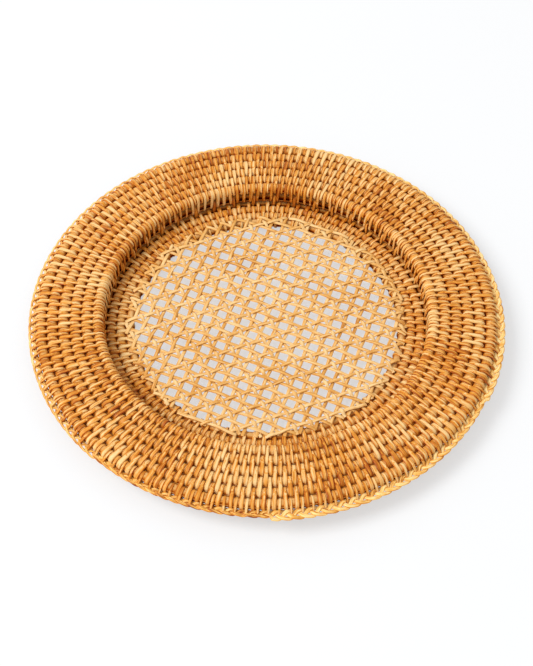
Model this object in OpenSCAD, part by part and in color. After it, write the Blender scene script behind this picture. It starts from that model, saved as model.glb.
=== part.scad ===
// Charger plate of rattan hoops lashed together with split cane, with an open cane lattice in
// its well and a plaited edge. Millimetres, +Z up, origin on the table under the plate's middle.

/* [Lattice] */
// Length of a lattice cell along the long strands
cell_a = 11.6; // [10:0.1:16]
// Length of a lattice cell along the cross strands
cell_b = 12.6; // [11:0.1:16]
// Turn of the long strands on the plate in degrees
lattice_turn = 21.5; // [0:0.5:90]
// Angle from the long strands to the cross strands in degrees
cross_angle = 93; // [87:0.5:93]
// Width of a lattice strand
strand_w = 2.5; // [1.4:0.1:2.8]
// Thickness of a lattice strand
strand_t = 0.45; // [0.3:0.05:0.8]

/* [Hoops] */
// Radius of the innermost base hoop, to the middle of its rod
inner_hoop_r = 95.1; // [90:0.1:115]
// Diameter of the rods of the base hoops
base_rod_d = 5.2; // [4:0.1:7]
// Diameter of the rod of the wall hoop
wall_rod_d = 6.4; // [4:0.1:8]
// Diameter of the rods of the rim hoops
rim_rod_d = 6.4; // [5:0.1:8]
// How far each hoop of the wall stands outside the one below it
wall_step = 0.7; // [0:0.1:3]
// How far the outermost rim hoop lies below the innermost one
rim_drop = 0.8; // [0:0.1:3]

/* [Lashing] */
// Width of the strips as a share of the room between two stitches of the next row
strip_fill_share = 0.84; // [0.6:0.01:0.94]
// Thickness of the cane strip
strip_t = 0.6; // [0.4:0.05:0.8]
// Lean of the stitches from straight across the hoops in degrees
stitch_lean = -3; // [-5:1:5]

/* [Edge plait] */
// Length of one wave of a strand of the plait, which holds three stitches of the rim
plait_wave = 21.5; // [20:0.1:28]
// How far a strand of the plait swings between its inner and its outer bights
plait_span = 3.6; // [3.5:0.1:4.6]
// Width of a strand of the plait
plait_w = 1.5; // [1:0.1:1.6]
// Thickness of a strand of the plait
plait_t = 0.8; // [0.4:0.1:1]
// How far the plait hangs below the middle of the outermost hoop
plait_drop = 1.5; // [0:0.1:2.2]
// Width of the strips that tie the plait to the outermost hoop
edge_strip_w = 1.5; // [1:0.1:1.6]

/* [Hidden] */
$fn = 96;

// Room between a strip and what it goes round, or lies on
fit_gap = 0.1;
// Gap between the two ends of a hoop's rod, under a stitch
joint_gap = 0.3;

base_count = 4;
rim_count = 6;

// Two strips pass between neighbouring hoops
row_gap = 2 * strip_t + 3 * fit_gap;
base_pitch = base_rod_d + row_gap;
rim_pitch = rim_rod_d + row_gap;

// Places of the hoops: radius and height of the middle of each rod, from the inside out
base_z = base_rod_d / 2 + fit_gap + strip_t;
foot = [inner_hoop_r + (base_count - 1) * base_pitch, base_z];
wall_reach = (base_rod_d + wall_rod_d) / 2 + row_gap;
wall_place = foot + [wall_step, sqrt(wall_reach ^ 2 - wall_step ^ 2)];
crest_reach = (wall_rod_d + rim_rod_d) / 2 + row_gap;
crest = wall_place + [wall_step, sqrt(crest_reach ^ 2 - wall_step ^ 2)];
function base_place(i) = [inner_hoop_r + (i - 1) * base_pitch, base_z];
function rim_place(i) = crest + [(i - 1) * rim_pitch, -rim_drop * ((i - 1) / (rim_count - 1)) ^ 2];

// The plait swings between inner bights, which the edge lashing catches, and outer ones
plait_lift = (plait_t + 2 * fit_gap) * 3 / 4;
plait_z = rim_place(rim_count)[1] - plait_drop;
bight_r = rim_place(rim_count)[0] + rim_rod_d / 2 + strip_t + 2 * fit_gap + plait_w / 2;
waves = round(2 * PI * bight_r / plait_wave);
// Room that a strand takes up where an edge strip goes round it, halfway along its inner bight
bight_len = 2 * PI * bight_r / waves / 4;
bight_room = norm([plait_w / 2, plait_t / 2 + plait_lift * edge_strip_w / bight_len]);

// Stitches of the rows. The waves of the plait set them all, so that no two strips on a hoop meet.
rim_stitches = 3 * waves;
base_stitches = 2 * waves;
tie_stitches = waves;
// Place of the first stitch of a row, in stitches, for even rows and for odd ones
rim_shift_shares = [0, 1 / 2];
base_shift_shares = [1 / 3, -1 / 6];
tie_shift_share = 1 / 6;
// The joints of neighbouring hoops lie this many stitches apart
joint_step = floor(waves * 4 / 5);

// The lattice lies on the lashing of the innermost hoop and ends over the gap outside that hoop
lattice_z = base_z + base_rod_d / 2 + 2 * fit_gap + strip_t;
lattice_r = inner_hoop_r + base_rod_d / 2 + row_gap / 2;
level_step = strand_t + fit_gap;
// The two sides of a cell
cell_x = cell_a * [1, 0];
cell_y = cell_b * [cos(cross_angle), sin(cross_angle)];
// Where the open cells lie from the plate's middle, in cells
cell_shift_shares = [-0.27, 0.235];
// Rising strands before this count pass over the falling ones between the cells, the others under them
weave_change = -4;
// The shortest strand that is worth weaving in
shortest_strand = 3 * strand_w;

// A place on the lattice, counted in cells from an open cell
function on_lattice(x, y) = (x + cell_shift_shares[0]) * cell_x + (y + cell_shift_shares[1]) * cell_y;
// Half the length of a strand that lies level where strands along two directions cross
function level_half(u, v) = let (angle = acos(abs(u * v) / norm(u) / norm(v)))
    strand_w / 2 * (1 + cos(angle)) / sin(angle) + fit_gap;
function reach_count(step) = ceil(lattice_r / step) + 1;
// A strand that stays on one level
function flat_on(level) = [[0, level, 3 * lattice_r]];

// One lattice strand, through a place on the lattice. Each crossing gives the place along the strand in
// steps, the level there and half the length of the level stretch.
module strand(place, step, crossings) {
    pace = norm(step);
    along = step / pace;
    offset = along[0] * place[1] - along[1] * place[0];
    half = offset ^ 2 < lattice_r ^ 2 ? sqrt(lattice_r ^ 2 - offset ^ 2) : 0;
    bends = [
        for (c = crossings, end = [-1, 1])
            [place * along + c[0] * pace + end * c[2], c[1] * level_step]
    ];
    path = concat(
        [[-half, lookup(-half, bends)]],
        [for (b = bends) if (abs(b[0]) < half - fit_gap) b],
        [[half, lookup(half, bends)]]
    );
    top = [for (i = [len(path) - 1 : -1 : 0]) path[i] + [0, strand_t]];
    if (2 * half > shortest_strand)
        rotate([0, 0, lattice_turn + atan2(step[1], step[0])]) translate([0, offset, lattice_z])
            rotate([90, 0, 0]) linear_extrude(strand_w, center = true) polygon(concat(path, top));
}

// Long strands: straight, over the slanting strands
module lattice_long() {
    reach = reach_count(cell_b);
    color("burlywood") for (k = [-reach : reach]) strand(on_lattice(0, k + 1 / 2), cell_x, flat_on(3));
}

// Cross strands: under the slanting strands beside the cells, over the long strands between them
module lattice_cross() {
    rows = reach_count(cell_b);
    columns = reach_count(cell_a);
    under_half = max(level_half(cell_y, cell_x + cell_y), level_half(cell_y, cell_x - cell_y));
    over_half = level_half(cell_y, cell_x);
    color("wheat") for (i = [-columns : columns])
        strand(on_lattice(i + 1 / 2, 0), cell_y, [
            for (k = [-rows : rows]) each [[k, 0, under_half], [k + 1 / 2, 4, over_half]]
        ]);
}

// A slanting strand runs along the diagonal of the cells and crosses a cross or a long strand at
// every half cell. The side is -1 for the strands that fall to the right and 1 for those that rise.
module slanting_strand(side, count, long_level, cross_level) {
    step = cell_x + side * cell_y;
    reach = 2 * reach_count(norm(step)) + 2 * abs(count);
    crossings = [
        for (m = [-reach : reach]) m % 2 == 0
            ? [m / 2, cross_level, level_half(step, cell_y)]
            : [m / 2, long_level, level_half(step, cell_x)]
    ];
    strand(
        on_lattice(count + 1 / 2, 0),
        step,
        long_level == cross_level ? flat_on(long_level) : crossings
    );
}

// Falling strands: straight, in the middle of the weave
module lattice_falling() {
    reach = reach_count(cell_a) + reach_count(cell_b);
    color("tan") for (n = [-reach : reach]) slanting_strand(-1, n, 2, 2);
}

// Rising strands: under the falling ones, but on one side of the plate over them between the cells
module lattice_rising() {
    reach = reach_count(cell_a) + reach_count(cell_b);
    color("navajowhite") for (n = [-reach : reach]) slanting_strand(1, n, 1, n < weave_change ? 3 : 1);
}

// Angles of the stitches. Rows are counted inwards from the edge lashing for their shift, so that each
// row carries on the lean of the one outside it, and stitches of rows side by side lie between each other.
lean_turn = asin(rim_pitch * sin(stitch_lean) / crest[0]);
function rim_turn(row, n) =
    (n + rim_shift_shares[row % 2]) * 360 / rim_stitches - (rim_count - row) * lean_turn;
function tie_turn(n) = (n + tie_shift_share) * 360 / tie_stitches - (rim_count + 1) * lean_turn;
function base_turn(row, n) =
    (n + base_shift_shares[row % 2]) * 360 / base_stitches - (rim_count + 1 + base_count - row) * lean_turn;
// Strip widths: stitches of two rows share the round of a hoop, which is shortest on its inner side
function strip_w(place, rod_d, stitches) =
    strip_fill_share * PI * (place[0] - rod_d / 2 - strip_t) / stitches;

// A rod bent into a hoop, with the joint of its ends at an angle round the plate
module hoop(place, rod_d, joint_at) {
    joint_angle = 360 * joint_gap / (2 * PI * place[0]);
    rotate([0, 0, joint_at + joint_angle / 2])
        rotate_extrude(angle = 360 - joint_angle) translate(place) circle(d = rod_d);
}

module base_hoop(i) {
    color("peru") hoop(base_place(i), base_rod_d, base_turn(i, i * joint_step));
}

module wall_hoop() {
    color("peru") hoop(wall_place, wall_rod_d, rim_turn(0, joint_step));
}

module rim_hoop(i) {
    color("peru") hoop(rim_place(i), rim_rod_d, rim_turn(i, i * joint_step));
}

// Outline that goes tight round two circles on the X axis
module tight_outline(reach, r1, r2) {
    slope = acos((r1 - r2) / reach);
    side = [cos(slope), sin(slope)];
    other = [cos(slope), -sin(slope)];
    circle(r1);
    translate([reach, 0]) rotate(180) circle(r2);
    polygon([r1 * side, r1 * other, [reach, 0] + r2 * other, [reach, 0] + r2 * side]);
}

// One stitch: a band round two rods, drawn in as one between them
module stitch(from, to, r1, r2, width) {
    reach = norm(to - from);
    rise = atan2(to[1] - from[1], to[0] - from[0]);
    translate([from[0], 0, from[1]]) rotate([0, -rise, 0]) translate([reach / 2, 0, 0])
        rotate([0, 0, stitch_lean]) translate([-reach / 2, 0, 0]) rotate([90, 0, 0])
            linear_extrude(width, center = true) difference() {
                tight_outline(reach, r1 + fit_gap + strip_t, r2 + fit_gap + strip_t);
                circle(r1 + fit_gap);
                translate([reach, 0]) circle(r2 + fit_gap);
            }
}

module base_lashing(i) {
    color("sandybrown") for (n = [0 : base_stitches - 1]) rotate([0, 0, base_turn(i, n)])
        stitch(base_place(i), base_place(i + 1), base_rod_d / 2, base_rod_d / 2,
            strip_w(base_place(i), base_rod_d, base_stitches));
}

// Ties between the outermost base hoop and the wall hoop
module wall_ties() {
    color("chocolate") for (n = [0 : tie_stitches - 1]) rotate([0, 0, tie_turn(n)])
        stitch(foot, wall_place, base_rod_d / 2, wall_rod_d / 2, strip_w(foot, base_rod_d, rim_stitches));
}

module wall_lashing() {
    color("chocolate") for (n = [0 : rim_stitches - 1]) rotate([0, 0, rim_turn(0, n)])
        stitch(wall_place, crest, wall_rod_d / 2, rim_rod_d / 2,
            strip_w(wall_place, wall_rod_d, rim_stitches));
}

module rim_lashing(i) {
    color("sandybrown") for (n = [0 : rim_stitches - 1]) rotate([0, 0, rim_turn(i, n)])
        stitch(rim_place(i), rim_place(i + 1), rim_rod_d / 2, rim_rod_d / 2,
            strip_w(rim_place(i), rim_rod_d, rim_stitches));
}

// The edge lashing ties the outermost hoop to the inner bights of the plait
module edge_lashing() {
    color("goldenrod") for (n = [0 : rim_stitches - 1]) rotate([0, 0, rim_turn(rim_count, n)])
        stitch(rim_place(rim_count), [bight_r, plait_z], rim_rod_d / 2, bight_room, edge_strip_w);
}

// One of the three strands of the plait. Each wave has an outer and an inner bight, with a place
// where the strand's path is set at both ends of each, and the strand passes from one side of the
// plait to the other in height along every piece of its path.
module edge_plait(i) {
    wave = [[1, 1], [1, -1], [0, 1], [0, -1]];
    steps = len(wave);
    rings = steps * waves;
    corners = [[-plait_w, -plait_t], [plait_w, -plait_t], [plait_w, plait_t], [-plait_w, plait_t]] / 2;
    sides = len(corners);
    function turn(j) = ((j + 1 / 2) / steps + (i - 1) / 3 + 1 / 4) * 360 / waves;
    swing = [for (w = wave) [w[0] * plait_span, w[1] * plait_lift]];
    function middle(j) = [bight_r, plait_z] + swing[j % steps];
    function on_circle(p, angle) = [p[0] * cos(angle), p[0] * sin(angle), p[1]];
    points = [for (j = [0 : rings - 1], c = corners) on_circle(middle(j) + c, turn(j))];
    function at(j, c) = (j % rings) * sides + c % sides;
    faces = [
        for (j = [0 : rings - 1], c = [0 : sides - 1])
            each [[at(j, c), at(j, c + 1), at(j + 1, c + 1)], [at(j, c), at(j + 1, c + 1), at(j + 1, c)]]
    ];
    color("gold") polyhedron(points, faces);
}

lattice_long();
lattice_cross();
lattice_falling();
lattice_rising();
for (i = [1 : base_count]) base_hoop(i);
wall_hoop();
for (i = [1 : rim_count]) rim_hoop(i);
for (i = [1 : base_count - 1]) base_lashing(i);
wall_ties();
wall_lashing();
for (i = [1 : rim_count - 1]) rim_lashing(i);
edge_lashing();
for (i = [1 : 3]) edge_plait(i);
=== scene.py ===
# %% [markdown]
# # A charger plate of lashed rattan
# A charger is a wide plate that dresses a table. This one is built from rods of rattan bent into hoops.
# Flat strips of split cane lash each hoop to the next, an open lattice of cane fills the middle, and a
# plait closes the edge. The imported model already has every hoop, strip and strand in its place, so this
# script measures it there and dresses each piece with cane that is rounder and less regular.

# %% Load the frame
import math

import bpy
from mathutils import Matrix, Vector


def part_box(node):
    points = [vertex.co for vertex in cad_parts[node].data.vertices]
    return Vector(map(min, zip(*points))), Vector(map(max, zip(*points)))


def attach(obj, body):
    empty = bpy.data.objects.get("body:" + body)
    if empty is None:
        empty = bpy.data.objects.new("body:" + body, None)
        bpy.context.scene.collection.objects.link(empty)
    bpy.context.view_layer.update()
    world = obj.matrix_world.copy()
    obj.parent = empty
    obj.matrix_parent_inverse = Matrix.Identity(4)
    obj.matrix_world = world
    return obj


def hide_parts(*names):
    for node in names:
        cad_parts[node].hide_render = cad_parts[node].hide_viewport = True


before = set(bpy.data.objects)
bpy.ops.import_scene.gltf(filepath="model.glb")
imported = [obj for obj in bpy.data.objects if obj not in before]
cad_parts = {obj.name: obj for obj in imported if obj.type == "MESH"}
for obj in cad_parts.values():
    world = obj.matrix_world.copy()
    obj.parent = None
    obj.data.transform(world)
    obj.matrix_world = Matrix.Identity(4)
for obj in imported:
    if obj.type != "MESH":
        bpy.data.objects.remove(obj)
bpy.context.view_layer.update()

MM = 0.001
print("CAD nodes:", len(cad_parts))

# %% [markdown]
# ## Camera
# The photograph looks down on the plate at about 52 degrees from a metre away. A camera could be set by
# eye, but this one is worked out from measures, so that the render can be laid over the photograph. It
# aims at the plate's axis a little above the table, and a small lens shift puts that point on its pixel.

# %% Camera
IMAGE_W, IMAGE_H = 533, 666
SENSOR = 36
FOCAL_PIXELS = 1425
CAMERA_DISTANCE = 1.0
CAMERA_ELEVATION = math.radians(51.713)
AIM = Vector((0, 0, 8.0 * MM))
AIM_PIXEL = (265.9, 319.4)


def add_object(name, data):
    thing = bpy.data.objects.new(name, data)
    bpy.context.scene.collection.objects.link(thing)
    return thing


camera_data = bpy.data.cameras.new("camera")
camera_data.sensor_width = SENSOR
camera_data.lens = SENSOR * FOCAL_PIXELS / IMAGE_H
camera_data.shift_x = (IMAGE_W / 2 - AIM_PIXEL[0]) / IMAGE_H
camera_data.shift_y = (AIM_PIXEL[1] - IMAGE_H / 2) / IMAGE_H
camera = add_object("camera", camera_data)
towards = Vector((0, -math.cos(CAMERA_ELEVATION), math.sin(CAMERA_ELEVATION)))
camera.location = AIM + CAMERA_DISTANCE * towards
camera.rotation_euler = towards.to_track_quat("Z", "Y").to_euler()
bpy.context.scene.camera = camera
print("lens:", round(camera_data.lens, 1), "mm")

# %% [markdown]
# ## Nodes in a few words
# The floor, the light, the cane and the weaving are all made with nodes. Adding a node by script takes
# the same lines each time, so small helpers do it. One adds a node with its settings, one gives a socket
# a number or a link, and the others do sums with them.


# %% Helpers for nodes
def node_in(tree, kind, **settings):
    node = tree.nodes.new(kind)
    for name, value in settings.items():
        setattr(node, name, value)
    return node


def plug(tree, socket, value):
    """Sets a plain value on the socket, and links anything else to it."""
    if isinstance(value, (int, float, tuple)):
        socket.default_value = value
    else:
        tree.links.new(value, socket)


def math_node(tree, operation, a, b=0.0):
    node = node_in(tree, "ShaderNodeMath", operation=operation)
    plug(tree, node.inputs[0], a)
    plug(tree, node.inputs[1], b)
    return node.outputs[0]


def times(tree, a, b):
    return math_node(tree, "MULTIPLY", a, b)


def plus(tree, a, b):
    return math_node(tree, "ADD", a, b)


def swing(tree, value, weight):
    """Turns a number around one half into one around zero."""
    return times(tree, math_node(tree, "SUBTRACT", value, 0.5), weight)


def vector(tree, *parts):
    node = node_in(tree, "ShaderNodeCombineXYZ")
    for socket, value in zip(node.inputs, parts):
        plug(tree, socket, value)
    return node.outputs[0]


node_helpers = (node_in, plug, math_node, times, plus, swing, vector)
print("node helpers:", [helper.__name__ for helper in node_helpers])

# %% [markdown]
# ## Floor
# The plate lies on a white table and casts a pale shadow on it. More light would make the table white
# too, but it would bleach the cane. So the floor glows a little, and only for rays that look at it: from
# the camera, from a reflection or through glass. The soft light on the cane has no part of that glow.

# %% Floor
FLOOR_HALF = 4.0
FLOOR_COLOUR = (0.755, 0.77, 0.79, 1)
FLOOR_ROUGHNESS = 0.9
FLOOR_SHEEN = 0.1
FLOOR_GLOW = 0.56


def seen_rays(tree):
    """One for rays that look at a surface, nought for those that only gather its light."""
    path = node_in(tree, "ShaderNodeLightPath").outputs
    mirrored = math_node(tree, "MAXIMUM", path["Is Glossy Ray"], path["Is Transmission Ray"])
    return math_node(tree, "MAXIMUM", path["Is Camera Ray"], mirrored)


floor_mesh = bpy.data.meshes.new("floor")
corners = [(x * FLOOR_HALF, y * FLOOR_HALF, 0) for x, y in ((-1, -1), (1, -1), (1, 1), (-1, 1))]
floor_mesh.from_pydata(corners, [], [(0, 1, 2, 3)])
floor = add_object("floor", floor_mesh)
floor_paint = bpy.data.materials.new("floor")
floor_paint.use_nodes = True
floor_tree = floor_paint.node_tree
floor_shader = floor_tree.nodes["Principled BSDF"]
floor_shader.inputs["Base Color"].default_value = FLOOR_COLOUR
floor_shader.inputs["Roughness"].default_value = FLOOR_ROUGHNESS
floor_shader.inputs["Specular IOR Level"].default_value = FLOOR_SHEEN
blend = node_in(floor_tree, "ShaderNodeMixShader")
plug(floor_tree, blend.inputs[0], times(floor_tree, seen_rays(floor_tree), FLOOR_GLOW))
plug(floor_tree, blend.inputs[1], floor_shader.outputs[0])
plug(floor_tree, blend.inputs[2], node_in(floor_tree, "ShaderNodeEmission").outputs[0])
plug(floor_tree, floor_tree.nodes["Material Output"].inputs["Surface"], blend.outputs[0])
floor_mesh.materials.append(floor_paint)
print("floor:", 2 * FLOOR_HALF, "m wide")

# %% [markdown]
# ## Lamp
# The light in the photograph comes from high on the left and a little from the front, so the shadow
# falls to the right. A sun lamp would draw that shadow too sharply. A large square lamp, two metres wide,
# gives it the soft edge that a window does.

# %% Lamp
LAMP_PLACE = Vector((-2.4, -0.5, 3.0))
LAMP_SIZE = 2.0
LAMP_POWER = 127

lamp_data = bpy.data.lights.new("soft lamp", "AREA")
lamp_data.energy = LAMP_POWER
lamp_data.size = LAMP_SIZE
lamp = add_object("soft lamp", lamp_data)
lamp.location = LAMP_PLACE
lamp.rotation_euler = LAMP_PLACE.to_track_quat("Z", "Y").to_euler()
print("lamp at", tuple(round(v, 2) for v in LAMP_PLACE))

# %% [markdown]
# ## World
# The room around the table gives an even light that reaches into the gaps between the strips. A second
# lamp would add a second shadow, so the world does it. It is plain white to rays that look at it, as the
# background of the photograph is, and weaker as a light.

# %% World
WHITE = (1, 1, 1, 1)
WORLD_STRENGTH = 0.72

world = bpy.data.worlds.new("even light")
world.use_nodes = True
world_tree = world.node_tree
sky = world_tree.nodes["Background"]
sky.inputs["Color"].default_value = WHITE
brighter = times(world_tree, seen_rays(world_tree), 1 - WORLD_STRENGTH)
plug(world_tree, sky.inputs["Strength"], plus(world_tree, brighter, WORLD_STRENGTH))
bpy.context.scene.world = world
bpy.context.scene.view_settings.view_transform = "Standard"
print("world strength as a light:", WORLD_STRENGTH)

# %% [markdown]
# ## Measuring the hoops
# Every strip and strand sits on a hoop, so the hoops come first. Their sizes could be written down once
# more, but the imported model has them: a hoop's box gives the thickness of its rod, its radius and its
# height.


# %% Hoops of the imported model
def hoop(node):
    low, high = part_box(node)
    rod = (high[2] - low[2]) / 2
    reach = max(high[0], high[1], -low[0], -low[1])
    return {"node": node, "rod": rod, "place": Vector((reach - rod, (low[2] + high[2]) / 2))}


base_hoops = [hoop(f"base_hoop_{i}") for i in range(1, 5)]
wall_hoop = hoop("wall_hoop")
rim_hoops = [hoop(f"rim_hoop_{i}") for i in range(1, 7)]
rim_pitch = rim_hoops[1]["place"][0] - rim_hoops[0]["place"][0]
print("rim pitch:", round(rim_pitch / MM, 2), "mm")

# %% [markdown]
# ## Fibre of the cane
# Cane is a bundle of long fibres, so its colour runs in streaks along every strip, with some blotches and
# dark specks. An image could be laid on each strip, but noise has no seams and fits any length. Every
# mesh carries three numbers for it: how far along the strip a point is, where it lies across, and the
# tone of its strip, which also moves the noise to a place of its own.

# %% Streaks, blotches and specks
OWN_PLACE = 370.0
STREAKS_PER_MM = 0.07
BLOTCHES_PER_MM = 0.17
BLOTCHES_ACROSS = 1.3
SPECKS_PER_MM = 0.9
SPECKS_PER_FIBRE = 1.6


def attribute(tree, name):
    return node_in(tree, "ShaderNodeAttribute", attribute_name=name).outputs["Fac"]


def noise(tree, x, y, z, detail):
    texture = node_in(tree, "ShaderNodeTexNoise", noise_dimensions="3D")
    texture.inputs["Scale"].default_value = 1.0
    texture.inputs["Detail"].default_value = detail
    plug(tree, texture.inputs["Vector"], vector(tree, x, y, z))
    return texture.outputs["Fac"]


def fibre_noise(tree, given):
    """Streaks, blotches and specks, each a number from nought to one."""
    along = times(tree, attribute(tree, "along"), 1 / MM)
    across = attribute(tree, "across")
    own = times(tree, attribute(tree, "tone"), OWN_PLACE)
    fibres = times(tree, across, given["Fibres"])
    wide = times(tree, across, BLOTCHES_ACROSS)
    fine = times(tree, fibres, SPECKS_PER_FIBRE)
    streak = noise(tree, times(tree, along, STREAKS_PER_MM), fibres, own, detail=3.0)
    blotch = noise(tree, times(tree, along, BLOTCHES_PER_MM), wide, own, detail=2.0)
    speck = noise(tree, times(tree, along, SPECKS_PER_MM), fine, own, detail=1.0)
    return streak, blotch, speck


print("streak length: about", round(1 / STREAKS_PER_MM), "mm")

# %% [markdown]
# ## Colour of the cane
# Old cane goes from pale straw over golden orange to brown. The tone of a strip, moved by its streaks and
# blotches, picks the place between those three colours. Beside its edges a strip looks deeper and warmer,
# as light goes to and fro between neighbours. Darkening would turn that grey, so a gamma curve is used,
# which deepens a colour and keeps it rich.

# %% Colour by tone
SPECK_LEVEL = 0.66


def mix_colour(tree, factor, a, b):
    node = node_in(tree, "ShaderNodeMix", data_type="RGBA", clamp_factor=True)
    for socket, value in zip((node.inputs[0], node.inputs[6], node.inputs[7]), (factor, a, b)):
        plug(tree, socket, value)
    return node.outputs[2]


def fibre_colour(tree, given, streak, blotch, speck):
    drift = plus(tree, swing(tree, streak, given["Streaks"]), swing(tree, blotch, given["Blotches"]))
    to_golden = times(tree, plus(tree, attribute(tree, "tone"), drift), 2.0)
    to_brown = math_node(tree, "SUBTRACT", to_golden, 1.0)
    light_half = mix_colour(tree, to_golden, given["Pale"], given["Golden"])
    cane = mix_colour(tree, to_brown, light_half, given["Brown"])
    spot = times(tree, math_node(tree, "GREATER_THAN", speck, SPECK_LEVEL), given["Specks"])
    spotted = mix_colour(tree, spot, cane, given["Brown"])

    # Painted shade: the colour deepens towards the edges of the cane, where neighbours shade it.
    to_edge = times(tree, math_node(tree, "ABSOLUTE", attribute(tree, "across")), 2.0)
    edge = math_node(tree, "POWER", to_edge, given["Edge Power"])
    edge_shaded = node_in(tree, "ShaderNodeGamma")
    plug(tree, edge_shaded.inputs["Color"], spotted)
    plug(tree, edge_shaded.inputs["Gamma"], plus(tree, times(tree, edge, given["Edges"]), 1.0))
    return edge_shaded.outputs["Color"]


print("specks: noise above", SPECK_LEVEL)

# %% [markdown]
# ## One group for all the cane
# All the pieces are cane or rattan. Four separate node trees would drift apart with every change, so one
# shader group holds the fibre, and each finish sets its inputs. The streaks also serve as height and
# roughness, so a dark fibre stands out a little and shines less.

# %% Shader group
FIBRE_INPUTS = {"Streaks": 0.5, "Fibres": 8.0, "Blotches": 0.4,
                "Specks": 0.3, "Edges": 0.0, "Edge Power": 3.0}
ROUGH_LEAST = 0.28
ROUGH_RANGE = 0.3


def make_fibre_group():
    group = bpy.data.node_groups.new("cane fibre", "ShaderNodeTree")
    face = group.interface
    for name in ("Pale", "Golden", "Brown"):
        face.new_socket(name, in_out="INPUT", socket_type="NodeSocketColor")
    for name, value in FIBRE_INPUTS.items():
        face.new_socket(name, in_out="INPUT", socket_type="NodeSocketFloat").default_value = value
    face.new_socket("Colour", in_out="OUTPUT", socket_type="NodeSocketColor")
    face.new_socket("Roughness", in_out="OUTPUT", socket_type="NodeSocketFloat")
    face.new_socket("Height", in_out="OUTPUT", socket_type="NodeSocketFloat")
    given = node_in(group, "NodeGroupInput").outputs
    out = node_in(group, "NodeGroupOutput").inputs
    streak, blotch, speck = fibre_noise(group, given)
    plug(group, out["Colour"], fibre_colour(group, given, streak, blotch, speck))
    plug(group, out["Height"], streak)
    plug(group, out["Roughness"], plus(group, times(group, streak, ROUGH_RANGE), ROUGH_LEAST))
    return group


fibre = make_fibre_group()
print("shader group:", fibre.name, "with", len(fibre.nodes), "nodes")

# %% [markdown]
# ## Finishes
# The lashing is the smooth outer skin of the cane, golden orange with paler and browner runs. The rods
# are dull pith, tan on top; their dark sides are painted shade where the rods press together. The lattice
# is paler skin, and the plait is the yellowest. The finishes share the group above and differ in their
# colours and in how strongly the fibre shows, so a change of colour is a change of one line.

# %% Materials
FIBRE_DEPTH = 0.15 * MM


def make_cane(name, bump, gloss, **look):
    """A material with the fibre group, whose inputs are set by their names."""
    material = bpy.data.materials.new(name)
    material.use_nodes = True
    tree = material.node_tree
    shader = tree.nodes["Principled BSDF"]
    drawn = node_in(tree, "ShaderNodeGroup", node_tree=fibre)
    for word, value in look.items():
        socket = drawn.inputs[word.replace("_", " ").title()]
        socket.default_value = (*value, 1) if isinstance(value, tuple) else value
    relief = node_in(tree, "ShaderNodeBump")
    relief.inputs["Strength"].default_value = bump
    relief.inputs["Distance"].default_value = FIBRE_DEPTH
    plug(tree, relief.inputs["Height"], drawn.outputs["Height"])
    plug(tree, shader.inputs["Base Color"], drawn.outputs["Colour"])
    plug(tree, shader.inputs["Roughness"], drawn.outputs["Roughness"])
    plug(tree, shader.inputs["Normal"], relief.outputs["Normal"])
    shader.inputs["Specular IOR Level"].default_value = gloss
    return material


# The edges values paint shade towards the sides of every strip, strand and rod, where neighbours shade them.
lashing_cane = make_cane(
    "lashing cane", pale=(0.81, 0.55, 0.25), golden=(0.72, 0.312, 0.041), brown=(0.40, 0.105, 0.007),
    streaks=2.4, fibres=2.4, blotches=0.6, specks=0.3, edges=0.85, edge_power=3.0, bump=0.7, gloss=0.18)
lattice_cane = make_cane(
    "lattice cane", pale=(0.83, 0.58, 0.28), golden=(0.70, 0.36, 0.085), brown=(0.42, 0.14, 0.018),
    streaks=1.6, fibres=5.0, blotches=1.0, specks=0.2, edges=0.6, edge_power=2.5, bump=0.4, gloss=0.22)
# Painted shade: the strong edges value and the dark brown darken each rod's sides, where it meets its
# neighbours.
rattan_rod = make_cane(
    "rattan rod", pale=(0.80, 0.52, 0.23), golden=(0.64, 0.33, 0.10), brown=(0.20, 0.06, 0.006),
    streaks=0.8, fibres=16.0, blotches=0.6, specks=0.3, edges=5.0, edge_power=3.0, bump=0.7, gloss=0.0)
plait_cane = make_cane(
    "plait cane", pale=(0.94, 0.71, 0.33), golden=(0.83, 0.45, 0.10), brown=(0.36, 0.10, 0.01),
    streaks=2.0, fibres=4.0, blotches=1.0, specks=0.3, edges=1.0, edge_power=2.5, bump=0.6, gloss=0.22)
print("materials:", [m.name for m in (lashing_cane, lattice_cane, rattan_rod, plait_cane)])

# %% [markdown]
# ## Growing a piece
# Over a thousand strips are too many to model one by one, so Geometry Nodes repeat and bend them. Each
# tree takes named inputs, ends by making real faces of its instances, and gives them their material. What
# it makes is then kept as a plain mesh and the modifier is removed, so a piece needs no nodes later on.


# %% Helpers for Geometry Nodes
def new_tree(name, inputs):
    tree = bpy.data.node_groups.new(name, "GeometryNodeTree")
    tree.interface.new_socket("Geometry", in_out="INPUT", socket_type="NodeSocketGeometry")
    for label, kind in inputs:
        tree.interface.new_socket(label, in_out="INPUT", socket_type=f"NodeSocket{kind}")
    tree.interface.new_socket("Geometry", in_out="OUTPUT", socket_type="NodeSocketGeometry")
    return tree, node_in(tree, "NodeGroupInput").outputs, node_in(tree, "NodeGroupOutput").inputs


def store(tree, geometry, name, value, domain="POINT"):
    node = node_in(tree, "GeometryNodeStoreNamedAttribute", data_type="FLOAT", domain=domain)
    node.inputs["Name"].default_value = name
    plug(tree, node.inputs["Geometry"], geometry)
    plug(tree, node.inputs["Value"], value)
    return node.outputs["Geometry"]


def finish_tree(tree, geometry, given, out):
    realize = node_in(tree, "GeometryNodeRealizeInstances")
    shade = node_in(tree, "GeometryNodeSetShadeSmooth")
    paint = node_in(tree, "GeometryNodeSetMaterial")
    plug(tree, realize.inputs[0], geometry)
    plug(tree, shade.inputs[0], realize.outputs[0])
    plug(tree, paint.inputs[0], shade.outputs[0])
    plug(tree, paint.inputs["Material"], given["Material"])
    plug(tree, out["Geometry"], paint.outputs[0])


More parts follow.
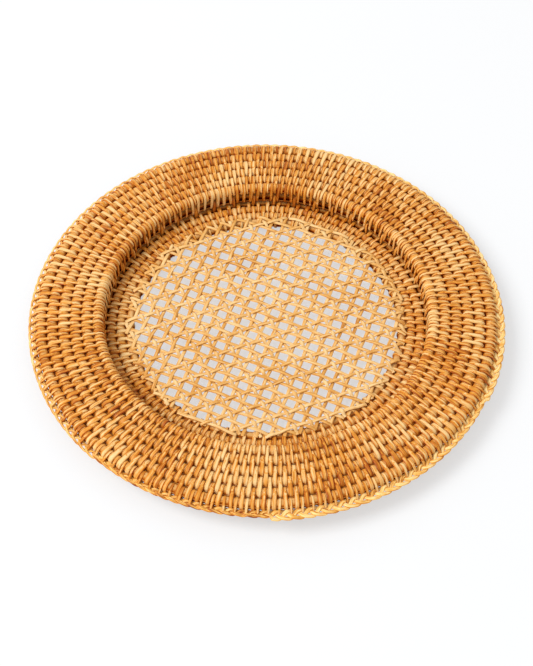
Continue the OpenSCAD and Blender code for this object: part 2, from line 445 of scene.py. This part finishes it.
def grow(name, source_mesh, tree, values):
    """Runs a tree on a mesh and returns the result as a plain mesh object at the origin."""
    carrier = add_object(name + "_carrier", source_mesh)
    modifier = carrier.modifiers.new("cane", "NODES")
    modifier.node_group = tree
    for item in tree.interface.items_tree:
        if item.item_type == "SOCKET" and item.in_out == "INPUT" and item.name in values:
            modifier[item.identifier] = values[item.name]
    depsgraph = bpy.context.evaluated_depsgraph_get()
    mesh = bpy.data.meshes.new_from_object(carrier.evaluated_get(depsgraph), depsgraph=depsgraph)
    mesh.name = name
    piece = add_object(name, mesh)
    carrier.modifiers.remove(modifier)
    bpy.data.objects.remove(carrier)
    return piece


def give(piece, slot, *nodes):
    """Puts the piece on the root body and hides the nodes it stands for; the slot is not used."""
    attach(piece, "root")
    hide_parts(*nodes)


print("helpers for trees:", [helper.__name__ for helper in (new_tree, store, finish_tree, grow, give)])

# %% [markdown]
# ## Cane along a line
# Rods, lattice strands and plait strands are all cane that follows a line. A curve with a bevel would do,
# but the shader has to know where along and across the cane each point lies. This tree sweeps a round or
# a flat section along a path and stores both numbers. A number on the path itself, its girth, lets the
# cane thin on its way.

# %% Tree that sweeps a section along paths
EASED_CORNER = 0.48


def oval_section(tree, given):
    circle = node_in(tree, "GeometryNodeCurvePrimitiveCircle")
    circle.inputs["Radius"].default_value = 0.5
    plug(tree, circle.inputs["Resolution"], given["Round Points"])
    oval = node_in(tree, "GeometryNodeTransform")
    plug(tree, oval.inputs[0], circle.outputs[0])
    plug(tree, oval.inputs["Scale"], vector(tree, given["Width"], given["Thickness"]))
    return oval.outputs[0]


def flat_section(tree, given):
    flat = node_in(tree, "GeometryNodeCurvePrimitiveQuadrilateral", mode="RECTANGLE")
    plug(tree, flat.inputs["Width"], given["Width"])
    plug(tree, flat.inputs["Height"], given["Thickness"])
    eased = node_in(tree, "GeometryNodeFilletCurve", mode="POLY")
    eased.inputs["Count"].default_value = 1
    plug(tree, eased.inputs[0], flat.outputs[0])
    plug(tree, eased.inputs["Radius"], times(tree, given["Thickness"], EASED_CORNER))
    return eased.outputs[0]


def make_sweep_tree():
    tree, given, out = new_tree("sweep cane", [
        ("Width", "Float"), ("Thickness", "Float"), ("Round", "Bool"), ("Round Points", "Int"),
        ("Material", "Material")])
    curve = node_in(tree, "GeometryNodeMeshToCurve")
    plug(tree, curve.inputs[0], given["Geometry"])
    level = node_in(tree, "GeometryNodeSetCurveNormal", mode="Z_UP")
    plug(tree, level.inputs[0], curve.outputs[0])
    length = node_in(tree, "GeometryNodeSplineParameter").outputs["Length"]

    choice = node_in(tree, "GeometryNodeSwitch", input_type="GEOMETRY")
    plug(tree, choice.inputs["Switch"], given["Round"])
    plug(tree, choice.inputs["False"], flat_section(tree, given))
    plug(tree, choice.inputs["True"], oval_section(tree, given))
    twice_round = times(tree, node_in(tree, "GeometryNodeSplineParameter").outputs["Factor"], 2.0)
    across = math_node(tree, "SUBTRACT", math_node(tree, "FRACT", twice_round), 0.5)

    girth = node_in(tree, "GeometryNodeInputNamedAttribute", data_type="FLOAT")
    girth.inputs["Name"].default_value = "girth"
    sweep = node_in(tree, "GeometryNodeCurveToMesh")
    sweep.inputs["Fill Caps"].default_value = True
    plug(tree, sweep.inputs["Scale"], girth.outputs["Attribute"])
    plug(tree, sweep.inputs["Curve"], store(tree, level.outputs[0], "along", length))
    plug(tree, sweep.inputs["Profile Curve"], store(tree, choice.outputs[0], "across", across))
    finish_tree(tree, sweep.outputs[0], given, out)
    return tree


sweep_cane = make_sweep_tree()
print("tree:", sweep_cane.name, "with", len(sweep_cane.nodes), "nodes")

# %% [markdown]
# ## A row of lashing
# A row is sewn with one strip of cane after another, and no two of its stitches are quite alike. An array
# would make them all the same. This tree sets one stitch down round the plate and gives every copy its
# own small turn, roll, lean and width. Tone and width also drift slowly along the row, because one length
# of cane makes many stitches before it ends.

# %% Chance and drift
ROW_SHIFT = 17.3
RUN_SWING = 3.0


def scatter(tree, index, seed, share):
    """A fixed random number between plus and minus the share, one for each stitch."""
    node = node_in(tree, "FunctionNodeRandomValue", data_type="FLOAT")
    for socket, value in zip([s for s in node.inputs if s.enabled], (-1.0, 1.0, index, seed)):
        plug(tree, socket, value)
    number = [s for s in node.outputs if s.enabled][0]
    return times(tree, number, share)


def run(tree, index, given, shift):
    """A number around nought that drifts slowly from stitch to stitch, elsewhere for every row."""
    drift = node_in(tree, "ShaderNodeTexNoise", noise_dimensions="1D")
    drift.inputs["Scale"].default_value = 1.0
    drift.inputs["Detail"].default_value = 1.0
    start = plus(tree, times(tree, given["Seed"], ROW_SHIFT), shift)
    plug(tree, drift.inputs["W"], plus(tree, math_node(tree, "DIVIDE", index, given["Run"]), start))
    return swing(tree, drift.outputs[0], RUN_SWING)


print("drift: plus and minus", RUN_SWING / 2, "at most")

# %% [markdown]
# The tree first finds the turn and the width of each copy, then sets the copies down, tilts each about
# the middle of its strip, and stores its tone. Every draw has a seed of its own, so the stitches are the
# same on every run.

# %% Tree that lays a row of stitches round the plate
SEED_GAP = 100.0
WIDTH_SHIFT = 7.7
OWN_TONE = 0.25


def make_row_tree():
    tree, given, out = new_tree("lashing row", [
        ("Stitch", "Object"), ("Count", "Int"), ("First Turn", "Float"), ("Middle", "Vector"),
        ("Turn Jitter", "Float"), ("Width Jitter", "Float"), ("Roll Jitter", "Float"),
        ("Lean Jitter", "Float"), ("Run", "Float"), ("Tone", "Float"), ("Tone Spread", "Float"),
        ("Width Spread", "Float"), ("Seed", "Int"), ("Material", "Material")])
    index = node_in(tree, "GeometryNodeInputIndex").outputs[0]

    def own(draw, share):
        return scatter(tree, index, plus(tree, given["Seed"], SEED_GAP * draw), share)

    step = math_node(tree, "DIVIDE", math.tau, given["Count"])
    turn = plus(tree, times(tree, index, step), given["First Turn"])
    rotation = node_in(tree, "FunctionNodeEulerToRotation")
    plug(tree, rotation.inputs[0], vector(tree, 0.0, 0.0, plus(tree, turn, own(0, given["Turn Jitter"]))))
    drift = times(tree, run(tree, index, given, WIDTH_SHIFT), given["Width Spread"])
    width = plus(tree, drift, plus(tree, own(1, given["Width Jitter"]), 1.0))

    points = node_in(tree, "GeometryNodePoints")
    plug(tree, points.inputs["Count"], given["Count"])
    stitch = node_in(tree, "GeometryNodeObjectInfo")
    plug(tree, stitch.inputs["Object"], given["Stitch"])
    copies = node_in(tree, "GeometryNodeInstanceOnPoints")
    plug(tree, copies.inputs["Points"], points.outputs[0])
    plug(tree, copies.inputs["Instance"], stitch.outputs["Geometry"])
    plug(tree, copies.inputs["Rotation"], rotation.outputs[0])
    plug(tree, copies.inputs["Scale"], vector(tree, 1.0, width, 1.0))

    lean = vector(tree, own(2, given["Roll Jitter"]), 0.0, own(3, given["Lean Jitter"]))
    tilt = node_in(tree, "GeometryNodeRotateInstances")
    plug(tree, tilt.inputs["Instances"], copies.outputs[0])
    plug(tree, tilt.inputs["Rotation"], lean)
    plug(tree, tilt.inputs["Pivot Point"], given["Middle"])

    change = plus(tree, run(tree, index, given, 0.0), own(4, OWN_TONE))
    tone = plus(tree, times(tree, change, given["Tone Spread"]), given["Tone"])
    finish_tree(tree, store(tree, tilt.outputs[0], "tone", tone, "INSTANCE"), given, out)
    return tree


lashing_row = make_row_tree()
print("tree:", lashing_row.name, "with", len(lashing_row.nodes), "nodes")

# %% [markdown]
# ## Hoops
# The hoops are rods of rattan, and they show only in the gaps of the lashing. A torus would do for each,
# but the lashing pulls the rods together until they press on each other. So each rod is swept with an
# oval section that is a little wider towards its neighbours, which leaves no slit between them. The two
# at the foot of the wall are the brownest, which is painted shade where the wall shades them.

# %% Paths as meshes
HOOP_STEPS = 240


def path_mesh(name, paths, closed, tones):
    """Polylines as a mesh of edges, with a tone for every path and the same girth all along."""
    points, edges, values = [], [], []
    for path, tone in zip(paths, tones):
        first = len(points)
        points += path
        edges += [(first + i, first + i + 1) for i in range(len(path) - 1)]
        if closed:
            edges.append((first + len(path) - 1, first))
        values += [tone] * len(path)
    mesh = bpy.data.meshes.new(name + "_path")
    mesh.from_pydata(points, edges, [])
    mesh.attributes.new("tone", "FLOAT", "POINT").data.foreach_set("value", values)
    mesh.attributes.new("girth", "FLOAT", "POINT").data.foreach_set("value", [1.0] * len(points))
    return mesh


def circle_path(r, z):
    turns = [math.tau * i / HOOP_STEPS for i in range(HOOP_STEPS)]
    return [(r * math.cos(t), r * math.sin(t), z) for t in turns]


print("points on a hoop:", HOOP_STEPS)

# %% [markdown]
# Each rod gets a path at the height of its hoop. A rod with one neighbour is moved by half of what its
# section grows, so that its free side stays where it was. The rod in the wall grows up and down instead.

# %% Hoops
ROD_POINTS = 14
PRESS = 0.78 * MM
ROD_TONES = (0.35, 0.41, 0.47)
# Painted shade: the two rods at the foot of the wall get this darker, browner tone.
FOOT_SHADE_TONE = 0.75


def sweep_hoop(ring, inwards, outwards, upwards, tone):
    r = ring["place"][0] + (outwards - inwards) / 2
    path = path_mesh(ring["node"], [circle_path(r, ring["place"][1])], True, [tone])
    rod = grow(ring["node"] + "_rod", path, sweep_cane, {
        "Width": 2 * ring["rod"] + inwards + outwards, "Thickness": 2 * (ring["rod"] + upwards),
        "Round": True, "Round Points": ROD_POINTS, "Material": rattan_rod})
    give(rod, "rattan_rod", ring["node"])


for group in (base_hoops, rim_hoops):
    for number, ring in enumerate(group):
        inwards = PRESS if number > 0 else 0.0
        outwards = PRESS if number < len(group) - 1 else 0.0
        tone = FOOT_SHADE_TONE if ring is base_hoops[-1] else ROD_TONES[number % len(ROD_TONES)]
        sweep_hoop(ring, inwards, outwards, 0.0, tone)
sweep_hoop(wall_hoop, 0.0, 0.0, PRESS, FOOT_SHADE_TONE)
print("hoops:", len(base_hoops) + 1 + len(rim_hoops))

# %% [markdown]
# ## Plan of the lashing
# Each row of lashing ties two neighbouring rods together, and the edge row ties the last rod to the
# plait. The strips fill most of the room along their rods and widen outwards as the plate does. The
# number of stitches in a row is counted in waves of the plait, so that every wave meets the same stitches
# all the way round. Here the sizes come first.

# %% Strips and counts
STRIP_T = 0.6 * MM
FIT_GAP = 0.1 * MM
STRIP_FILL = 0.86
BASE_FILL = 0.78
TAPER = 0.13
EDGE_WIDTHS = (2.1 * MM, 1.6 * MM)
PLAIT_WAVES = 47
PLAIT_W = 1.5 * MM
BIGHT_ROD = 0.95 * MM
RIM_COUNT = 3 * PLAIT_WAVES
BASE_COUNT = 2 * PLAIT_WAVES
last_rod = rim_hoops[-1]
plait_low, plait_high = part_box("edge_plait_1")
plait_z = (plait_low[2] + plait_high[2]) / 2
bight_r = last_rod["place"][0] + last_rod["rod"] + STRIP_T + 2 * FIT_GAP + PLAIT_W / 2
bight = {"place": Vector((bight_r, plait_z)), "rod": BIGHT_ROD}


def strip_widths(ring, count, fill):
    """Widths of a strip at its inner and its outer end."""
    width = fill * math.pi * (ring["place"][0] - ring["rod"] - STRIP_T) / count
    return width * (1 - TAPER), width * (1 + TAPER)


rim_widths = strip_widths(rim_hoops[0], RIM_COUNT, STRIP_FILL)
print("strips in the first rim row:", [round(width / MM, 2) for width in rim_widths], "mm")

# %% [markdown]
# Neighbouring rows lie half a stitch apart, like bricks, since each strip dives between two strips of the
# next row. All strips lean a few degrees, and each row follows the lean of the row outside it. The list
# says which rods a row ties, how many stitches it has, by what share of a stitch it is shifted, how wide
# its strips are and how dark.

# %% Rows from the middle outwards
STITCH_LEAN = math.radians(-3)
BASE_SHIFTS = (-1 / 6, 1 / 3, -1 / 6)
TIE_SHIFT = 1 / 6
HALF_STITCH = 1 / 2
# Painted shade: the base rows deepen towards the wall, and the ties at its foot are darker still, where the
# wall shades them.
BASE_TONES = (0.30, 0.40, 0.50)
TIE_SHADE_TONE = 0.6
RIM_TONE = 0.37
END_ROW_TONE = 0.42

rows = []
for i in range(3):
    widths = strip_widths(base_hoops[i], BASE_COUNT, BASE_FILL)
    rows.append((f"base_lashing_{i + 1}", base_hoops[i], base_hoops[i + 1], BASE_COUNT, BASE_SHIFTS[i],
                 widths, BASE_TONES[i]))
widths = strip_widths(base_hoops[3], RIM_COUNT, STRIP_FILL)
rows.append(("wall_ties", base_hoops[3], wall_hoop, PLAIT_WAVES, TIE_SHIFT, widths, TIE_SHADE_TONE))
widths = strip_widths(wall_hoop, RIM_COUNT, STRIP_FILL)
rows.append(("wall_lashing", wall_hoop, rim_hoops[0], RIM_COUNT, 0.0, widths, END_ROW_TONE))
for i in range(5):
    widths = strip_widths(rim_hoops[i], RIM_COUNT, STRIP_FILL)
    shift = 0.0 if i % 2 else HALF_STITCH
    rows.append((f"rim_lashing_{i + 1}", rim_hoops[i], rim_hoops[i + 1], RIM_COUNT, shift, widths, RIM_TONE))
rows.append(("edge_lashing", rim_hoops[5], bight, RIM_COUNT, 0.0, EDGE_WIDTHS, END_ROW_TONE))
lean_turn = math.asin(rim_pitch * math.sin(STITCH_LEAN) / rim_hoops[0]["place"][0])
print("rows:", [(row[0], row[3]) for row in rows])

# %% [markdown]
# ## One stitch
# Seen from the side, a strip goes tight round its two rods like a belt on two wheels: two straight
# stretches and two arcs. A box bent along a curve would have one width all the way, but these strips
# widen outwards. So the points of the belt are worked out first, and a section with bevelled edges is
# then set at each of them.

# %% Path of a belt
ARC_STEPS = 5


def belt(reach, r1, r2):
    """Points round two circles with their outward directions."""
    meet = math.acos((r1 - r2) / reach)
    stations = []
    for k in range(ARC_STEPS + 1):
        stations.append((0.0, r1, meet + (math.tau - 2 * meet) * k / ARC_STEPS))
    for k in range(ARC_STEPS + 1):
        stations.append((reach, r2, -meet + 2 * meet * k / ARC_STEPS))
    path = []
    for centre, radius, angle in stations:
        out = Vector((math.cos(angle), math.sin(angle)))
        path.append((Vector((centre, 0)) + radius * out, out))
    path.append(((path[-1][0] + path[0][0]) / 2, (path[-1][1] + path[0][1]).normalized()))
    return path


print("points on a belt:", 2 * (ARC_STEPS + 1) + 1)

# %% [markdown]
# The strip is flat on top. It swells a little between the rods, where nothing holds it, and is drawn in
# where it dives beside its neighbours. Its long edges are marked as sharp, so that smooth shading doesn't
# round them away.

# %% Mesh of a stitch
MIDDLE_SWELL = 0.04
END_PINCH = 0.06
SHOWN_T = 1.1 * STRIP_T
SECTION = ((-0.5, 0.0), (-0.5, 0.5), (-0.34, 1.0), (0.34, 1.0), (0.5, 0.5), (0.5, 0.0))


def strip_width(x, reach, half, widths):
    share = (x - reach / 2) / half
    width = widths[0] + (widths[1] - widths[0]) * min(1.0, max(0.0, x / reach))
    return width * (1 + MIDDLE_SWELL * max(0.0, 1 - (2 * share) ** 2) - END_PINCH * share ** 2)


def stitch_points(start, end, widths):
    """Points of a strip with their places along and across it, and the number of sections."""
    line = end["place"] - start["place"]
    reach = line.length
    r1, r2 = start["rod"] + FIT_GAP / 2, end["rod"] + FIT_GAP / 2
    to_middle = Matrix.Translation((reach / 2, 0, 0))
    lean = to_middle @ Matrix.Rotation(STITCH_LEAN, 4, "Z") @ to_middle.inverted()
    rise = Matrix.Rotation(-math.atan2(line[1], line[0]), 4, "Y")
    stand = Matrix.Translation((start["place"][0], 0, start["place"][1])) @ rise @ lean
    points, along, across, length = [], [], [], 0.0
    path = belt(reach, r1, r2)
    for n, (spot, out) in enumerate(path):
        length += (spot - path[n - 1][0]).length if n else 0.0
        strip = strip_width(spot[0], reach, reach / 2 + max(r1, r2), widths)
        for side, lift in SECTION:
            raised = spot + out * SHOWN_T * lift
            points.append(stand @ Vector((raised[0], side * strip, raised[1])))
            along.append(length)
            across.append(side)
    return points, along, across, len(path)


def stitch_mesh(name, start, end, widths):
    points, along, across, count = stitch_points(start, end, widths)
    wide = len(SECTION)
    faces = []
    for n in range(count):
        m = (n + 1) % count
        for k in range(wide):
            j = (k + 1) % wide
            faces.append((n * wide + k, n * wide + j, m * wide + j, m * wide + k))
    mesh = bpy.data.meshes.new(name)
    mesh.from_pydata(points, [], faces)
    crisp = [a % wide == b % wide for a, b in (edge.vertices for edge in mesh.edges)]
    mesh.attributes.new("sharp_edge", "BOOLEAN", "EDGE").data.foreach_set("value", crisp)
    mesh.attributes.new("along", "FLOAT", "POINT").data.foreach_set("value", along)
    mesh.attributes.new("across", "FLOAT", "POINT").data.foreach_set("value", across)
    return mesh


print("corners of the section:", len(SECTION))

# %% [markdown]
# ## Sewing the rows
# Every row is now grown from its own stitch. Neighbouring stitches differ only a little, by a sixth of a
# degree of turn or a tenth of the width, which is enough to look sewn by hand. The plate stands on the
# undersides of the base rows, so points that a roll would push through the table are set back onto it.

# %% Rows of stitches
UNEVENNESS = {
    "Turn Jitter": math.radians(0.16), "Width Jitter": 0.1, "Roll Jitter": 0.1, "Lean Jitter": 0.055,
    "Run": 12.0, "Tone Spread": 0.52, "Width Spread": 0.2}
FIRST_SEED = 5

stitch_faces = 0
for number, (node, start, end, count, shift, widths, tone) in enumerate(rows):
    pattern = add_object(node + "_pattern", stitch_mesh(node + "_pattern", start, end, widths))
    stitch_faces += count * len(pattern.data.polygons)
    rows_outside = len(rows) - 1 - number
    middle = (start["place"] + end["place"]) / 2
    strips = grow(node + "_strips", bpy.data.meshes.new(node + "_seat"), lashing_row, {
        "Stitch": pattern, "Count": count, "Middle": (middle[0], 0.0, middle[1]),
        "First Turn": shift * math.tau / count - rows_outside * lean_turn,
        "Tone": tone, "Seed": FIRST_SEED + number, "Material": lashing_cane, **UNEVENNESS})
    bpy.data.objects.remove(pattern)
    for corner in strips.data.vertices:
        corner.co.z = max(corner.co.z, 0.0)
    give(strips, "lashing_cane", node)
print("stitch faces:", stitch_faces)

# %% [markdown]
# ## Lattice
# The middle of the plate is an open weave of flat strands in four directions, on cells that are a little
# off square. Cutting holes into a sheet would lose the weave, so each strand is a path of its own. A cell
# is spanned by two steps, and all four directions are counted in them.

# %% Cells of the lattice
CELL_A, CELL_B = 11.6 * MM, 12.6 * MM
CROSS_ANGLE = math.radians(93)
LATTICE_TURN = math.radians(21.5)
CELL_SHIFT = (-0.27, 0.235)
STRAND_W, STRAND_T = 2.5 * MM, 0.45 * MM
HOOP_GAP = 2 * STRIP_T + 3 * FIT_GAP
cell_x = CELL_A * Vector((1, 0))
cell_y = CELL_B * Vector((math.cos(CROSS_ANGLE), math.sin(CROSS_ANGLE)))
inner = base_hoops[0]
lattice_r = inner["place"][0] + inner["rod"] + HOOP_GAP / 2
lattice_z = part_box("lattice_cross")[0][2] + STRAND_T / 2


def on_lattice(x, y):
    return (x + CELL_SHIFT[0]) * cell_x + (y + CELL_SHIFT[1]) * cell_y


print("lattice radius:", round(lattice_r / MM, 1), "mm")

# %% [markdown]
# A strand rises and falls as it passes over and under the others. Where two strands meet, both are level
# for a short stretch, and between these stretches the height swings softly, as cane does. Towards their
# ends the strands lie down on the innermost hoop, and no strand is quite straight.

# %% Path of a strand
PATH_STEP = 0.8 * MM
FEWEST_STEPS = 4
END_DROOP = 6 * MM
END_SPREAD = 1.5 * MM
END_RATE = 71
WOBBLE = 0.3 * MM
WOBBLE_RATE = 2.6
WOBBLE_SHIFT = 9


def soft_height(s, bends):
    """Height between bends, each a place, a height and half the length of its level stretch."""
    before = max((b for b in bends if b[0] <= s), default=bends[0])
    after = min((b for b in bends if b[0] > s), default=bends[-1])
    start, stop = before[0] + before[2], after[0] - after[2]
    share = min(1.0, max(0.0, (s - start) / (stop - start))) if stop > start else 0.5
    return before[1] + (after[1] - before[1]) * share * share * (3 - 2 * share)


def strand_path(place, step, crossings):
    """Points of the strand through a place, or nothing where it would miss the lattice."""
    along = step.normalized()
    offset = along[0] * place[1] - along[1] * place[0]
    if abs(offset) > lattice_r - STRAND_W:
        return None
    half = math.sqrt(lattice_r ** 2 - offset ** 2) - END_SPREAD * math.sin(END_RATE * offset / CELL_A) ** 2
    bends = [(place.dot(along) + c * step.length, height, level) for c, height, level in crossings]
    count = max(FEWEST_STEPS, int(2 * half / PATH_STEP))
    spin = Matrix.Rotation(LATTICE_TURN + math.atan2(step[1], step[0]), 3, "Z")
    path = []
    for i in range(count + 1):
        s = -half + 2 * half * i / count
        near_end = max(0.0, 1 - (half - abs(s)) / END_DROOP)
        height = soft_height(s, bends) * (1 - near_end ** 2)
        sway = WOBBLE * math.sin(WOBBLE_RATE * s / CELL_B + WOBBLE_SHIFT * offset / CELL_A)
        path.append(spin @ Vector((s, offset + sway, lattice_z + height)))
    return path


print("point spacing on a strand:", round(PATH_STEP / MM, 2), "mm")

# %% [markdown]
# The long strands ride over both slanting sets beside each open cell. The cross strands dive under the
# slanting ones and come up over the long ones, where they show as short pale lozenges. Where the two
# slanting sets meet, the rising one is on top in part of the lattice and the falling one in the rest.

# %% The four sets
LONG_UNDER_CROSS, LONG_OVER_SLANTS, LONG_LEVEL = 1.0 * MM, 1.5 * MM, 1.2 * MM
CROSS_OVER_LONG, CROSS_OVER_LEVEL = 1.55 * MM, 0.9 * MM
CROSS_UNDER_SLANTS, CROSS_UNDER_LEVEL = 0.0, 2.4 * MM
FALLING_UNDER_LONG, RISING_UNDER_LONG = 0.8 * MM, 0.3 * MM
SLANT_BELOW, SLANT_ABOVE, SLANT_LEVEL = 0.6 * MM, 1.2 * MM, 1.0 * MM
WEAVE_CHANGE = -4
strand_numbers = range(-24, 25)
straight_steps = range(-24, 25)
slanting_steps = range(-70, 71)


def long_strand(n):
    bends = [(m / 2, LONG_UNDER_CROSS if m % 2 else LONG_OVER_SLANTS, LONG_LEVEL) for m in straight_steps]
    return strand_path(on_lattice(0, n + 0.5), cell_x, bends)


def cross_strand(n):
    over = (CROSS_OVER_LONG, CROSS_OVER_LEVEL)
    under = (CROSS_UNDER_SLANTS, CROSS_UNDER_LEVEL)
    bends = [(m / 2, *(over if m % 2 else under)) for m in straight_steps]
    return strand_path(on_lattice(n + 0.5, 0), cell_y, bends)


def falling_strand(n):
    bends = []
    for m in slanting_steps:
        meeting = SLANT_BELOW if n + m < WEAVE_CHANGE else SLANT_ABOVE
        bends.append((m / 2, FALLING_UNDER_LONG if m % 2 else meeting, SLANT_LEVEL))
    return strand_path(on_lattice(n + 0.5, 0), cell_x - cell_y, bends)


def rising_strand(n):
    meeting = SLANT_ABOVE if n < WEAVE_CHANGE else SLANT_BELOW
    bends = [(m / 2, RISING_UNDER_LONG if m % 2 else meeting, SLANT_LEVEL) for m in slanting_steps]
    return strand_path(on_lattice(n + 0.5, 0), cell_x + cell_y, bends)


makers = {"lattice_long": long_strand, "lattice_cross": cross_strand,
          "lattice_falling": falling_strand, "lattice_rising": rising_strand}
strand_sets = {}
for node, maker in makers.items():
    paths = [maker(n) for n in strand_numbers]
    strand_sets[node] = [path for path in paths if path]
print("strands:", {node: len(paths) for node, paths in strand_sets.items()})

# %% [markdown]
# The strands are split from many canes, so no two have quite the same tone, and the cross strands are the
# palest set. A wave of the strand's number gives that scatter. Random numbers would do too, but a wave
# needs no seed and comes out the same on every run.

# %% Lattice strands
LATTICE_TONES = {"lattice_long": 0.32, "lattice_cross": 0.16,
                 "lattice_falling": 0.34, "lattice_rising": 0.36}
STRAND_TONE_SPREAD = 0.22
FAST_WAVE, SLOW_WAVE, WAVE_START = 12.9898, 7.233, 4.1


def uneven(number, spread):
    return spread * math.sin(FAST_WAVE * number + WAVE_START) * math.cos(SLOW_WAVE * number)


for node, paths in strand_sets.items():
    tones = [LATTICE_TONES[node] + uneven(n, STRAND_TONE_SPREAD) for n in range(len(paths))]
    strands = grow(node + "_strands", path_mesh(node, paths, False, tones), sweep_cane, {
        "Width": STRAND_W, "Thickness": STRAND_T, "Round": False, "Material": lattice_cane})
    give(strands, "lattice_cane", node)
print("lattice sets:", len(strand_sets))

# %% [markdown]
# ## Edge plait
# A plait of three flat strands closes the edge. The cane for it ends now and then and new cane is spliced
# in, here at the front left, at the front and on the right. The cane is widest after a splice, then it
# thins until small holes open on the left. Its tone darkens on from each splice, which is painted light:
# the pale new cane lifts the shaded right side, and the older, darker cane tones down the lit left.
# Separate lengths would need joints, so each strand stays one closed path, and its width and tone change
# along it.

# %% Splices
# A splice has its degrees round the plate, how much further out its cane starts, the degrees after
# which that has faded, and its tone.
SPLICES = ((-133, -0.9 * MM, 42, 0.5), (-89, 2.3 * MM, 62, 0.2), (-27, 1.7 * MM, 46, 0.12))
# Painted light: the tone darkens with the degrees since a splice, so the shaded right is palest and the lit
# left darker.
DARKENING_PER_DEGREE = 0.001


def since_splice(turn):
    """Degrees since the last splice, how much further out the fresh cane still lies, and its tone."""
    lengths = []
    for start, extra, fading, tone in SPLICES:
        lengths.append(((math.degrees(turn) - start) % 360, extra, fading, tone))
    age, extra, fading, tone = min(lengths)
    return age, extra * max(0.0, 1 - (age / fading) ** 2), tone + DARKENING_PER_DEGREE * age


print("splices at", [splice[0] for splice in SPLICES], "degrees")

# %% [markdown]
# The three strands swing in and out, a third of a wave apart, and go over and under each other twice in
# a wave. The edge lashing catches them at their inner bights. A strand stays longer at both ends of its
# swing than a plain wave would, because it is bent sharply there.

# %% Plait strands
PLAIT_STRANDS = 3
PLAIT_STEPS = 16
PLAIT_SPAN = 3.6 * MM
PLAIT_T = 0.8 * MM
PLAIT_LIFT = 0.6 * MM
PLAIT_SHOWN_W = 2.9 * MM
PLAIT_TUCK = 0.5 * MM
PLAIT_DRAWN_IN = 0.4 * MM
PLAIT_LEAST = 0.58
THINNING = 0.0024
STRAND_TONE_STEP = 0.1


def plait_strand(strand):
    path, girths, tones = [], [], []
    for i in range(PLAIT_STEPS * PLAIT_WAVES):
        wave = i / PLAIT_STEPS
        turn = (wave + strand / PLAIT_STRANDS) * math.tau / PLAIT_WAVES
        age, extra, tone = since_splice(turn)
        girth = max(PLAIT_LEAST, 1 - THINNING * age)
        widening = (girth * PLAIT_SHOWN_W - PLAIT_W) / 2
        reach = PLAIT_SPAN + PLAIT_TUCK - PLAIT_DRAWN_IN - widening + extra
        share = math.sin(math.pi * wave) ** 2
        r = bight_r - PLAIT_TUCK + reach * share * share * (3 - 2 * share)
        z = plait_z - PLAIT_LIFT * math.sin(2 * math.tau * wave)
        path.append((r * math.cos(turn), r * math.sin(turn), z))
        girths.append(girth)
        tones.append(tone + STRAND_TONE_STEP * strand)
    return path, girths, tones


for strand in range(PLAIT_STRANDS):
    node = f"edge_plait_{strand + 1}"
    path, girths, tones = plait_strand(strand)
    line = path_mesh(node, [path], True, [0.0])
    line.attributes["girth"].data.foreach_set("value", girths)
    line.attributes["tone"].data.foreach_set("value", tones)
    piece = grow(node + "_strand", line, sweep_cane, {
        "Width": PLAIT_SHOWN_W, "Thickness": PLAIT_T, "Round": False, "Material": plait_cane})
    give(piece, "plait_cane", node)
print("plait waves:", PLAIT_WAVES)
